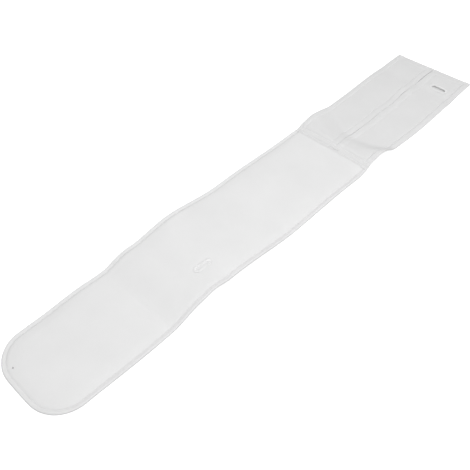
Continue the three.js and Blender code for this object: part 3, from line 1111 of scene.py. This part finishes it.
@dataclass(frozen=True)
class Hem:
    """Turned hem: its full part, its stitch row and its rolled edge, as distances in from the edge."""

    crest: float
    rise: float
    outer_slope: float
    inner_slope: float
    row: float
    row_depth: float
    row_width: float
    roll: tuple[float, float]

    def bulge(self, border: np.ndarray) -> np.ndarray:
        """How far the hem stands up at distances from the edge."""
        return self.rise * bell(border - self.crest, self.outer_slope, self.inner_slope)

    def sunk(self, border: np.ndarray) -> np.ndarray:
        """How far the stitch row pulls the cloth down at distances from the edge."""
        return self.row_depth * groove(border - self.row, self.row_width)


OUTER_HEM = Hem(
    crest=7.2,
    rise=0.9,
    outer_slope=11.0,
    inner_slope=5.0,
    row=11.3,
    row_depth=0.6,
    row_width=1.1,
    roll=(0.9, 0.6),
)
SLIT_HEM = Hem(
    crest=7.0,
    rise=0.45,
    outer_slope=9.5,
    inner_slope=5.0,
    row=12.3,
    row_depth=0.45,
    row_width=1.2,
    roll=(0.8, 0.5),
)
END_HEM = Hem(
    crest=11.0,
    rise=0.5,
    outer_slope=12.0,
    inner_slope=6.0,
    row=6.5,
    row_depth=0.6,
    row_width=2.0,
    roll=(6.0, 1.1),
)


@dataclass
class Strap:
    """Hemmed closing strap between the slit and one long edge of the belt."""

    belt: LyingBelt
    side: Side
    slit: Slit = field(default_factory=Slit)
    thickness: float = 2.2
    lip: float = 0.3
    lip_length: float = 4.0
    edge_inset: float = 1.0
    corner_radius: float = 2.5
    lap: float = 15.8
    lap_gap: float = 0.15
    lap_fall: float = 14.0
    lap_rows: tuple[float, float] = (3.8, 11.8)
    lap_row_depth: float = 1.1
    lap_row_width: float = 1.7
    stitch_pitch: float = 3.0
    stitch_length: float = 2.2
    grid_first: float = 0.8
    grid_largest: float = 3.6
    grid_hold: float = 14.0
    kept_margin: float = 18.0
    slot_welt: float = 0.5
    welt_middle: float = 5.5
    welt_reach: float = 6.0
    least_parting: float = 0.15
    under_roll: tuple[float, float] = (1.0, 0.5)
    slot_cut: tuple[float, float] = (-4.0, 8.0)
    panel_section: Profile = Profile(
        (1, 2.3, 3.3, 4.4, 5.3, 6.5, 7.4, 8.5, 10.3, 12.3, 15),
        (4.1, 4.5, 4.4, 4.1, 3.8, 3.6, 3.7, 4.2, 5.1, 5.5, 5.6),
    )

    @property
    def name(self) -> str:
        """Name of the strap's object."""
        return "upper_strap" if self.side is Side.FAR else "lower_strap"

    def outer_edge(self, x: np.ndarray) -> np.ndarray:
        """Y of the strap's outer edge, rounded off at the corner.

        Args:
            x: Places along the flat belt.

        Returns:
            Y of the edge at each place.
        """
        into = np.clip(x - (self.belt.strap_end_x - self.corner_radius), 0, self.corner_radius)
        corner = self.corner_radius - np.sqrt(self.corner_radius**2 - into**2)
        return self.side.value * (self.belt.half_width - self.edge_inset - corner)

    def hems(self, x: np.ndarray, y: np.ndarray) -> list[tuple[np.ndarray, Hem]]:
        """The strap's hems on its outer edge, at the slit and at its end.

        Args:
            x: Places along the flat belt.
            y: Places across it.

        Returns:
            For each hem, the distances of the places from its edge, and the hem.
        """
        outer = np.abs(self.outer_edge(x) - y)
        slit = np.abs(y - self.slit.edge(x, self.side))
        return [(outer, OUTER_HEM), (slit, SLIT_HEM), (self.belt.strap_end_x - x, END_HEM)]

    def seat(self, x: np.ndarray, y: np.ndarray) -> np.ndarray:
        """Height of the strap's underside, which the lap seam lifts onto the pressed panel and its binding.

        Args:
            x: Places along the flat belt.
            y: Places across it.

        Returns:
            Heights above the table of the flat belt.
        """
        padding = self.panel_section(self.belt.half_width - np.abs(y))
        gap = self.lap_gap * step_up(x - self.belt.seam_x, 0, self.lip_length)
        lap_end = self.belt.seam_x + self.lap
        return (padding * self.belt.squeeze(x) + gap) * (1 - step_up(x, lap_end, lap_end + self.lap_fall))

    def cloth(self, x: np.ndarray) -> np.ndarray:
        """Thickness of the strap's cloth, which thins to a lip on the panel."""
        return np.interp(x - self.belt.seam_x, (0, self.lip_length), (self.lip, self.thickness))

    def top(self, x: np.ndarray, y: np.ndarray) -> np.ndarray:
        """Height of the strap's upper face, with its hems and the grooves of its stitch rows.

        Args:
            x: Places along the flat belt.
            y: Places across it.

        Returns:
            Heights above the table of the flat belt.
        """
        front = x - self.belt.seam_x
        hems = self.hems(x, y)
        bulge = np.maximum.reduce([hem.bulge(border) for border, hem in hems])
        if self.side is Side.NEAR:
            out = FINGER_SLOT.distance(x, y) - self.welt_middle
            bulge = bulge + self.slot_welt * bell(out, self.welt_reach, self.welt_reach)
        rows = [hem.sunk(border) for border, hem in hems]
        rows += [self.lap_row_depth * groove(front - row, self.lap_row_width) for row in self.lap_rows]
        (outer, _), (slit, _), (end, _) = hems
        parted = np.clip(self.slit.opening(x), self.least_parting, 1)
        rolls = (
            roll_off(outer, *OUTER_HEM.roll),
            roll_off(slit, *SLIT_HEM.roll) * parted,
            roll_off(end, *END_HEM.roll),
        )
        rolled = np.maximum.reduce(rolls)
        cloth = self.cloth(x)
        form = bulge - np.maximum.reduce(rows) - rolled
        return self.seat(x, y) + cloth + form * cloth / self.thickness

    def bottom(self, x: np.ndarray, y: np.ndarray) -> np.ndarray:
        """Height of the strap's lower face, rolled up a little along its edges.

        Args:
            x: Places along the flat belt.
            y: Places across it.

        Returns:
            Heights above the table of the flat belt.
        """
        border = np.minimum.reduce([border for border, _ in self.hems(x, y)])
        rolled = roll_off(border, *self.under_roll) * self.cloth(x) / self.thickness
        least = 0.5 * np.minimum(self.cloth(x), 0.6)
        return np.minimum(self.seat(x, y) + rolled, self.top(x, y) - least)

    def grid(self) -> tuple[np.ndarray, np.ndarray]:
        """Places of the strap's grid on the flat belt, fine towards its edges.

        Returns:
            Places along the belt and across it.
        """
        length = self.belt.strap_end_x - self.belt.seam_x
        x = self.belt.seam_x + graded(length, self.grid_first, self.grid_largest, self.grid_hold)
        low, high = self.slit.edge(x, self.side), self.outer_edge(x)
        if self.side is Side.NEAR:
            low, high = high, low
        nominal = float((high - low).mean())
        offsets = graded(nominal, self.grid_first, self.grid_largest, self.grid_hold)
        kept = self.kept_margin
        even = (0, kept, nominal - kept, nominal)
        y = np.stack(
            [
                lo + np.interp(offsets, even, (0, kept, width - kept, width))
                for lo, width in zip(low, high - low, strict=True)
            ]
        )
        return np.broadcast_to(x[:, None], y.shape), y

    def stitch_places(self) -> list[np.ndarray]:
        """Places of the hems' and the lap seam's stitch rows on the flat belt.

        Returns:
            Places along each row.
        """
        step = 1.0
        sign = self.side.value
        end_x = self.belt.strap_end_x - END_HEM.row
        x = np.arange(self.belt.seam_x + 2, end_x + 4, step)
        outer = self.outer_edge(x) - sign * OUTER_HEM.row
        inner = self.slit.edge(x, self.side) + sign * SLIT_HEM.row
        rows = [np.stack([x, outer], axis=-1), np.stack([x, inner], axis=-1)]
        for row_x in (end_x, *(self.belt.seam_x + row for row in self.lap_rows)):
            edges = np.array([self.slit.edge(np.array(row_x), self.side), self.outer_edge(np.array(row_x))])
            low, high = edges[0] + sign * 1.5, edges[1] - sign * 1.5
            y = np.arange(low, high, sign * step)
            rows.append(np.stack([np.full_like(y, row_x), y], axis=-1))
        return rows

    def build(self) -> list[bpy.types.Object]:
        """Builds and dresses the strap's cloth and its stitches.

        Returns:
            The cloth's object and the stitches' object.
        """
        x, y = self.grid()
        upper, lower = (self.belt.place(x, y, face(x, y)) for face in (self.top, self.bottom))
        cloth = closed_sheet(self.name, upper, lower)
        apply_modifier(cloth, "SUBSURF", levels=1, render_levels=1)
        if self.side is Side.NEAR:
            self.cut_slot(cloth)
        node = "strap_upper" if self.side is Side.FAR else "strap_lower"
        dress(cloth, STRAP_KNIT.material(), Slot.STRAP, node)
        rows = [sewn_row(row, self.stitch_pitch, self.stitch_length) for row in self.stitch_places()]
        ends = (np.concatenate([row[i] for row in rows]) for i in (0, 1))
        start, end = (settled(self.belt.place(at[:, 0], at[:, 1], 0.0), cloth) for at in ends)
        stitches = Thread().stitches(f"{self.name}_stitches", start, end)
        dress(stitches, SEWING_THREAD.material(), Slot.THREAD)
        along = x[:, 0]
        width = float(np.abs(self.outer_edge(along) - self.slit.edge(along, self.side)).mean())
        return [cloth, stitches]

    def cut_slot(self, cloth: bpy.types.Object) -> None:
        """Cuts the finger slot through the strap, under its stitched rim.

        Args:
            cloth: The strap's object.
        """
        places, _ = FINGER_SLOT.path(step=1.0, out=1.0)
        count = len(places)
        points = [self.belt.place(places[:, 0], places[:, 1], height) for height in self.slot_cut]
        index = np.arange(count)
        turned = np.roll(index, -1)
        walls = np.stack([index, turned, turned + count, index + count], axis=-1)
        faces = walls.tolist() + [index[::-1].tolist(), (index + count).tolist()]
        cut_out(cloth, mesh_object("slot_cutter", np.concatenate(points), faces))


@dataclass
class SatinRim:
    """Rim of close satin stitches round an oval: a raised core that threads lie across side by side."""

    belt: LyingBelt
    oval: Oval
    name: str
    node: str
    cloth: bpy.types.Object
    depth: float
    width: float
    rise: float = 0.45
    thread_pitch: float = 0.42
    thread_radius: float = 0.3
    thread_sides: int = 5

    def arch(self, count: int, swell: float) -> np.ndarray:
        """Section of the rim.

        Args:
            count: Number of points.
            swell: How far the section stands outside the core's.

        Returns:
            Distances out of the oval and heights above the cloth.
        """
        turn = np.linspace(math.pi, 0, count)
        out = self.width / 2 + (self.width / 2 + swell) * np.cos(turn)
        height = (self.rise + swell) * np.sin(turn) ** 1.5 - 0.1
        return np.stack([out, height], axis=-1)

    def section_points(self, section: np.ndarray, step: float) -> np.ndarray:
        """Carries a section round the oval, along the cloth's face.

        Args:
            section: Distances out of the oval and heights above the cloth.
            step: Distance between sections, roughly.

        Returns:
            Points in metres.
        """
        places, out = self.oval.path(step, self.width / 2)
        base = places - out * self.width / 2
        x = base[:, None, 0] + out[:, None, 0] * section[None, :, 0]
        y = base[:, None, 1] + out[:, None, 1] * section[None, :, 0]
        laid = self.belt.place(x, y, 0.0)
        outside = places + out * self.width / 2
        level = self.belt.place(outside[:, 0], outside[:, 1], 0.0)
        for row, (start, foot) in enumerate(zip(level.tolist(), laid[:, :, 2].tolist(), strict=True)):
            _, hit, _, _ = self.cloth.ray_cast((start[0], start[1], RAY_HEIGHT), DOWN)
            laid[row, :, 2] = hit.z - start[2] + np.array(foot) + section[:, 1] * MM
        return laid

    def build(self) -> bpy.types.Object:
        """Builds and dresses the rim.

        Returns:
            The rim's object.
        """
        arch = self.arch(7, 0.0)
        foot = np.array([[arch[-1, 0], -self.depth], [arch[0, 0], -self.depth]])
        core = self.section_points(np.concatenate([arch, foot]), 1.0)
        rows, columns = core.shape[:2]
        index = np.arange(rows * columns).reshape(rows, columns)
        ahead, turned = np.roll(index, -1, axis=0), np.roll(index, -1, axis=1)
        both = np.roll(ahead, -1, axis=1)
        faces = np.stack([index, turned, both, ahead], axis=-1).reshape(-1, 4)
        rim = mesh_object(self.name, core, faces[:, ::-1].tolist())
        path = self.section_points(self.arch(7, self.thread_radius * 0.6), self.thread_pitch)
        heading = np.gradient(path, axis=1)
        heading /= np.linalg.norm(heading, axis=2, keepdims=True)
        side = np.roll(path, -1, axis=0) - np.roll(path, 1, axis=0)
        side /= np.linalg.norm(side, axis=2, keepdims=True)
        up = np.cross(side, heading)
        angle = np.arange(self.thread_sides) * 2 * math.pi / self.thread_sides
        ring = np.cos(angle)[:, None] * side[:, :, None] + np.sin(angle)[:, None] * up[:, :, None]
        fatness = self.thread_radius * MM * np.array([0.35, 0.8, 1.0, 1.0, 1.0, 0.8, 0.35])
        threads = tubes(f"{self.name}_threads", path[:, :, None] + ring * fatness[None, :, None, None])
        select_only(rim)
        threads.select_set(True)
        bpy.ops.object.join()
        bpy.ops.object.mode_set(mode="EDIT")
        bpy.ops.mesh.select_all(action="SELECT")
        bpy.ops.mesh.normals_make_consistent(inside=False)
        bpy.ops.object.mode_set(mode="OBJECT")
        return dress(rim, SEWING_THREAD.material(), Slot.THREAD, self.node)


@dataclass
class BarTack:
    """Close bar of stitches across the root of the slit, which keeps it from tearing further."""

    belt: LyingBelt
    cloths: tuple[bpy.types.Object, ...]
    x: float = 177.0
    y: float = -6.5
    length: float = 17.0
    width: float = 4.0
    pitch: float = 0.7
    thread_radius: float = 0.35

    def build(self) -> bpy.types.Object:
        """Builds and dresses the bar.

        Returns:
            The bar's object.
        """
        y = self.y + np.arange(-self.length / 2, self.length / 2, self.pitch)
        ends = (self.belt.place(self.x + side * self.width / 2, y, 0.0) for side in (-1, 1))
        start, end = (settled(points, *self.cloths) for points in ends)
        bar = Thread(radius=self.thread_radius).stitches("bar_tack", start, end)
        return dress(bar, SEWING_THREAD.material(), Slot.THREAD)


@dataclass(frozen=True)
class Softbox:
    """Square soft light that faces the middle of the belt: place and size in metres, power in watts."""

    name: str
    place: tuple[float, float, float]
    size: float
    power: float


@dataclass(frozen=True)
class Studio:
    """Pale glowing floor, a grey card of painted shade under the slit and the slot, soft light, and the
    camera.
    """

    camera_place: tuple[float, float, float] = (-0.691457, -0.589119, 0.933986)
    camera_azimuth: float = -46.517
    camera_elevation: float = 48.222
    lens: float = 59.85
    sensor: float = 36.0
    floor_size: float = 12.0
    floor_colour: str = "#FFFFFF"
    floor_glow: float = 0.45
    floor_z: float = -0.0002
    # Grey card under the straps: painted shade, a darker sheet that shows only through the slit and the
    # finger slot, where the table lies in shade.
    shade_card_colour: str = "#D6D6D6"
    shade_card_start: float = 0.18
    shade_card_end: float = 0.498
    shade_card_width: float = 0.12
    shade_card_z: float = -0.0001
    sky: float = 0.646
    softboxes: tuple[Softbox, ...] = (
        Softbox("front softbox", (-0.5, -3.3, 3.7), 3.6, 43.0),
        Softbox("toe softbox", (-3.3, 0.6, 3.7), 3.6, 15.0),
        Softbox("overhead softbox", (-0.03, -0.35, 1.3), 1.0, 8.2),
    )

    def build(self) -> None:
        """Builds the floor, the lights and the camera."""
        scene = bpy.context.scene
        scene.view_settings.view_transform = "Standard"
        floor_size = (self.floor_size, self.floor_size)
        self.ground("floor", floor_size, 0.0, self.floor_z, self.floor_colour, self.floor_glow)
        # The grey card is painted shade for the slit and the finger slot.
        shade_card_size = (self.shade_card_end - self.shade_card_start, self.shade_card_width)
        shade_card_x = (self.shade_card_start + self.shade_card_end) / 2
        self.ground("painted_shade_card", shade_card_size, shade_card_x, self.shade_card_z, self.shade_card_colour, 0.0)
        world = bpy.data.worlds.new("white room")
        world.use_nodes = True
        background = world.node_tree.nodes["Background"]
        background.inputs["Color"].default_value = (1.0, 1.0, 1.0, 1.0)
        background.inputs["Strength"].default_value = self.sky
        scene.world = world
        for box in self.softboxes:
            bpy.ops.object.light_add(type="AREA", location=box.place)
            light = bpy.context.object
            light.name = box.name
            light.data.size = box.size
            light.data.energy = box.power
            light.rotation_euler = (-Vector(box.place)).to_track_quat("-Z", "Y").to_euler()
        bpy.ops.object.camera_add(location=self.camera_place)
        camera = bpy.context.object
        azimuth, elevation = math.radians(self.camera_azimuth), math.radians(self.camera_elevation)
        back = Vector(
            (
                math.sin(azimuth) * math.cos(elevation),
                -math.cos(azimuth) * math.cos(elevation),
                math.sin(elevation),
            )
        )
        camera.rotation_euler = (-back).to_track_quat("-Z", "Y").to_euler()
        camera.data.lens = self.lens
        camera.data.sensor_width = self.sensor
        scene.camera = camera

    def ground(
        self, name: str, size: tuple[float, float], x: float, z: float, colour: str, glow: float
    ) -> None:
        """Lays a flat sheet of matt paper under the belt.

        Args:
            name: Name of the sheet.
            size: Length along the belt and width across it, in metres.
            x: Place of its middle along the belt.
            z: Height of its face.
            colour: Hex colour of the paper.
            glow: Strength of its own light.
        """
        bpy.ops.object.select_all(action="DESELECT")
        bpy.ops.mesh.primitive_plane_add(size=1.0)
        sheet = bpy.context.object
        sheet.name = name
        sheet.data.transform(Matrix.Translation((x, 0.0, z)) @ Matrix.Diagonal((*size, 1.0, 1.0)))
        sheet.visible_diffuse = False
        paper = bpy.data.materials.new(f"matt paper of the {name}")
        paper.use_nodes = True
        shader = paper.node_tree.nodes["Principled BSDF"]
        shader.inputs["Base Color"].default_value = linear(colour)
        shader.inputs["Roughness"].default_value = 1.0
        shader.inputs["Specular IOR Level"].default_value = 0.0
        shader.inputs["Emission Color"].default_value = (1.0, 1.0, 1.0, 1.0)
        shader.inputs["Emission Strength"].default_value = glow
        sheet.data.materials.append(paper)


def main() -> None:
    """Builds the belt piece by piece, then the studio round it."""
    logging.basicConfig(level=logging.INFO, format="%(name)s: %(message)s")
    belt = LyingBelt()
    outline = Outline(belt)
    panel = PaddedPanel(belt, outline).build()
    FoldedBinding(belt, outline).build()
    straps = {side: Strap(belt, side).build()[0] for side in Side}
    BarTack(belt, tuple(straps.values())).build()
    slot_cloth = straps[Side.NEAR]
    SatinRim(
        belt, FINGER_SLOT, "finger_slot_satin", "finger_slot_rim", slot_cloth, depth=2.2, width=3.4
    ).build()
    SatinRim(belt, BODY_OVAL, "body_oval_satin", "body_oval_rim", panel, depth=0.6, width=4.5).build()
    Studio().build()


if __name__ == "__main__":
    main()
